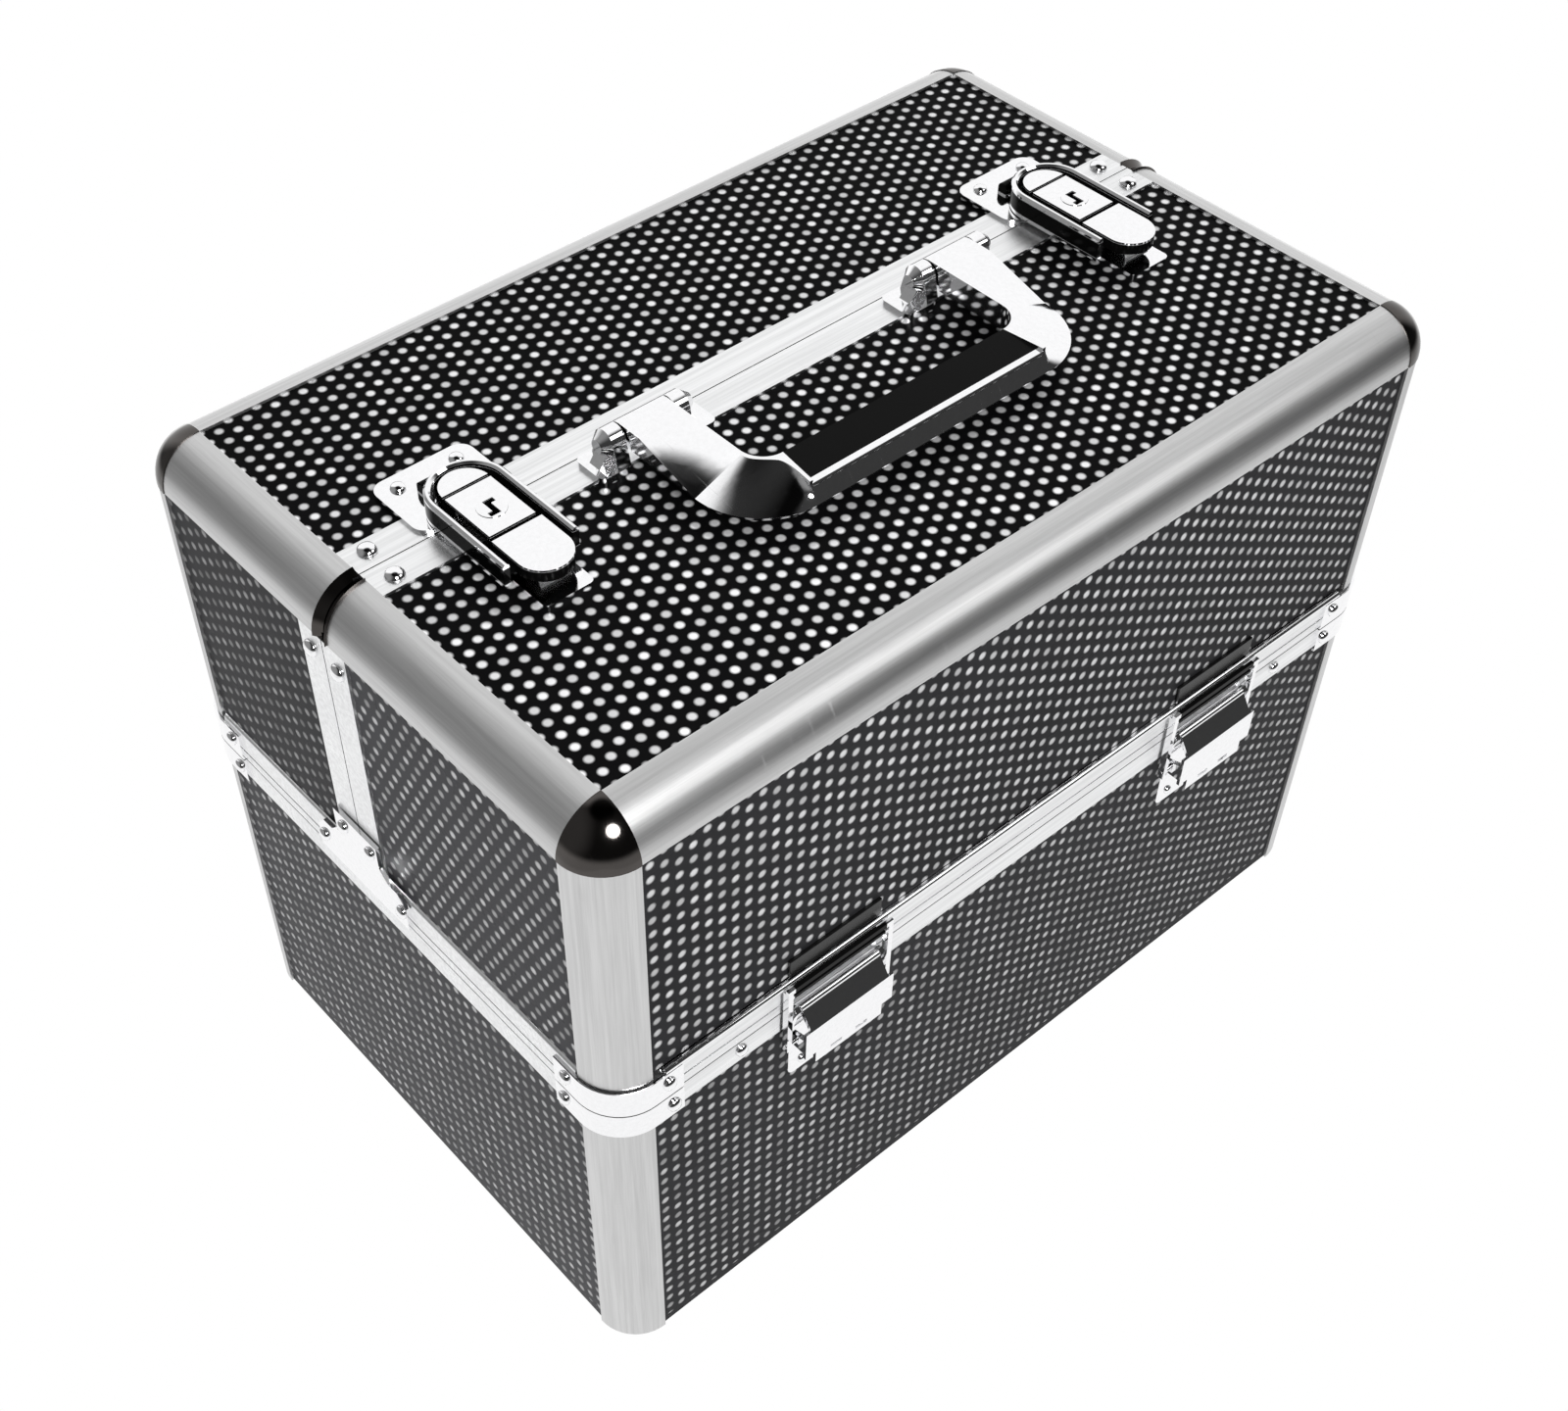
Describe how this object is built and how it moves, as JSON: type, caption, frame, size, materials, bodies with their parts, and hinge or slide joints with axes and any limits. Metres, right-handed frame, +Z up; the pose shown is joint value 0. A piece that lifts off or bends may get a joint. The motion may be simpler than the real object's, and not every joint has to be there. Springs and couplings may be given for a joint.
{
  "type": "makeup train case",
  "caption": "Train case with dotted black panels, aluminium edges, split top opening on cantilever trays over a deep box, folding handle, hasp locks and draw latches.",
  "frame": {"origin": "centre of the footprint, on the plane under the feet", "axes": "+X along the length to the right seen from the latch side, +Y from the latch side to the hinge side, +Z up"},
  "size_m": [0.3636, 0.2432, 0.2822],
  "materials": {
    "dot_laminate": "gloss black laminate with a hexagonal pattern of small silver dots",
    "satin_aluminium": "satin anodised extrusion",
    "chrome": "bright chrome plate",
    "plated_steel": "nickel-plated steel",
    "black_board": "black-faced fibreboard",
    "black_foam": "fine-grained foam sheet",
    "black_tray": "fine-textured moulding",
    "grip_black": "smooth black insert",
    "foot_rubber": "matt rubber"
  },
  "bodies": {
    "lower_box": {"lower_front_panel": "dot_laminate", "lower_rear_panel": "dot_laminate", "lower_left_panel": "dot_laminate", "lower_right_panel": "dot_laminate", "lower_posts": "satin_aluminium", "bottom_panel": "black_board", "floor_pad": "black_foam", "lower_rim": "satin_aluminium", "lower_brackets": "chrome", "feet": "foot_rubber", "rear_hinge_lower": "plated_steel", "toggle_base_left": "chrome", "toggle_base_right": "chrome"},
    "deck": {"deck_rim": "satin_aluminium", "deck_floor": "black_board", "deck_brackets": "chrome", "arm_plates": "chrome", "lid_hinges": "plated_steel", "rear_hinge_upper": "plated_steel", "arm_uprights": "plated_steel", "toggle_catches": "chrome"},
    "front_lid": {"front_lid_top": "dot_laminate", "front_lid_wall": "dot_laminate", "front_lid_ends": "dot_laminate", "front_edge": "satin_aluminium", "front_end_edges": "satin_aluminium", "front_posts": "satin_aluminium", "front_corner_castings": "chrome", "front_split_strips": "satin_aluminium", "front_hinge_leaf": "plated_steel", "front_tray_bosses": "black_tray", "handle_brackets": "chrome", "lock_keepers": "chrome"},
    "rear_lid": {"rear_lid_top": "dot_laminate", "rear_lid_wall": "dot_laminate", "rear_lid_ends": "dot_laminate", "rear_edge": "satin_aluminium", "rear_end_edges": "satin_aluminium", "rear_posts": "satin_aluminium", "rear_corner_castings": "chrome", "rear_split_strips": "satin_aluminium", "rear_hinge_leaf": "plated_steel", "rear_tray_bosses": "black_tray", "lock_bases": "chrome"},
    "front_upper_tray": {"front_tray_upper": "black_tray"},
    "front_lower_tray": {"front_tray_lower": "black_tray"},
    "rear_upper_tray": {"rear_tray_upper": "black_tray"},
    "rear_lower_tray": {"rear_tray_lower": "black_tray"},
    "front_tray_arms": {"front_arms": "plated_steel"},
    "rear_tray_arms": {"rear_arms": "plated_steel"},
    "handle": {"handle_bow": "chrome", "handle_grip": "grip_black"},
    "left_hasp": {"hasp_left": "chrome"},
    "right_hasp": {"hasp_right": "chrome"},
    "left_key_plug": {"key_plug_left": "chrome"},
    "right_key_plug": {"key_plug_right": "chrome"},
    "left_lever": {"toggle_lever_left": "chrome"},
    "right_lever": {"toggle_lever_right": "chrome"},
    "left_claw": {"toggle_claw_left": "chrome"},
    "right_claw": {"toggle_claw_right": "chrome"}
  },
  "joints": [
    {"name": "upper_tilt", "type": "hinge", "parent": "lower_box", "child": "deck", "pos_m": [0, 0.1192, 0.14145], "axis": [-1, 0, 0], "range_deg": [0, 80]},
    {"name": "front_lid_swing", "type": "hinge", "parent": "deck", "child": "front_lid", "pos_m": [0, -0.1134, 0.1546], "axis": [1, 0, 0], "range_deg": [0, 85]},
    {"name": "rear_lid_swing", "type": "hinge", "parent": "deck", "child": "rear_lid", "pos_m": [0, 0.1166, 0.1546], "axis": [-1, 0, 0], "range_deg": [0, 85]},
    {"name": "front_upper_tray_level", "type": "hinge", "parent": "front_lid", "child": "front_upper_tray", "pos_m": [0, -0.06198, 0.21588], "axis": [-1, 0, 0], "range_deg": [0, 85]},
    {"name": "rear_upper_tray_level", "type": "hinge", "parent": "rear_lid", "child": "rear_upper_tray", "pos_m": [0, 0.06518, 0.21588], "axis": [1, 0, 0], "range_deg": [0, 85]},
    {"name": "front_lower_tray_level", "type": "hinge", "parent": "front_lid", "child": "front_lower_tray", "pos_m": [0, -0.08897, 0.18371], "axis": [-1, 0, 0], "range_deg": [0, 85]},
    {"name": "rear_lower_tray_level", "type": "hinge", "parent": "rear_lid", "child": "rear_lower_tray", "pos_m": [0, 0.09217, 0.18371], "axis": [1, 0, 0], "range_deg": [0, 85]},
    {"name": "front_arm_swing", "type": "hinge", "parent": "deck", "child": "front_tray_arms", "pos_m": [0, -0.0584, 0.1546], "axis": [1, 0, 0], "range_deg": [0, 85]},
    {"name": "rear_arm_swing", "type": "hinge", "parent": "deck", "child": "rear_tray_arms", "pos_m": [0, 0.0766, 0.1546], "axis": [-1, 0, 0], "range_deg": [0, 85]},
    {"name": "handle_lift", "type": "hinge", "parent": "front_lid", "child": "handle", "pos_m": [0, 0.0056, 0.2775], "axis": [-1, 0, 0], "range_deg": [0, 95]},
    {"name": "left_hasp_lift", "type": "hinge", "parent": "rear_lid", "child": "left_hasp", "pos_m": [-0.1236, 0.0296, 0.2726], "axis": [-1, 0, 0], "range_deg": [0, 100]},
    {"name": "left_key_turn", "type": "hinge", "parent": "rear_lid", "child": "left_key_plug", "pos_m": [-0.1236, 0.0031, 0.2782], "axis": [0, 0, 1], "range_deg": [0, 90]},
    {"name": "left_lever_pull", "type": "hinge", "parent": "lower_box", "child": "left_lever", "pos_m": [-0.09, -0.1156, 0.141], "axis": [-1, 0, 0], "range_deg": [0, 90]},
    {"name": "left_claw_tip", "type": "hinge", "parent": "left_lever", "child": "left_claw", "pos_m": [-0.09, -0.1153, 0.125], "axis": [1, 0, 0], "range_deg": [0, 180]},
    {"name": "right_hasp_lift", "type": "hinge", "parent": "rear_lid", "child": "right_hasp", "pos_m": [0.1236, 0.0296, 0.2726], "axis": [-1, 0, 0], "range_deg": [0, 100]},
    {"name": "right_key_turn", "type": "hinge", "parent": "rear_lid", "child": "right_key_plug", "pos_m": [0.1236, 0.0031, 0.2782], "axis": [0, 0, 1], "range_deg": [0, 90]},
    {"name": "right_lever_pull", "type": "hinge", "parent": "lower_box", "child": "right_lever", "pos_m": [0.09, -0.1156, 0.141], "axis": [-1, 0, 0], "range_deg": [0, 90]},
    {"name": "right_claw_tip", "type": "hinge", "parent": "right_lever", "child": "right_claw", "pos_m": [0.09, -0.1153, 0.125], "axis": [1, 0, 0], "range_deg": [0, 180]}
  ],
  "couplings": [
    {"joint": "rear_lid_swing", "follows": "front_lid_swing", "ratio": 1},
    {"joint": "front_upper_tray_level", "follows": "front_lid_swing", "ratio": 1},
    {"joint": "rear_upper_tray_level", "follows": "front_lid_swing", "ratio": 1},
    {"joint": "front_lower_tray_level", "follows": "front_lid_swing", "ratio": 1},
    {"joint": "rear_lower_tray_level", "follows": "front_lid_swing", "ratio": 1},
    {"joint": "front_arm_swing", "follows": "front_lid_swing", "ratio": 1},
    {"joint": "rear_arm_swing", "follows": "front_lid_swing", "ratio": 1},
    {"joint": "left_claw_tip", "follows": "left_lever_pull", "ratio": 2},
    {"joint": "right_claw_tip", "follows": "right_lever_pull", "ratio": 2}
  ]
}
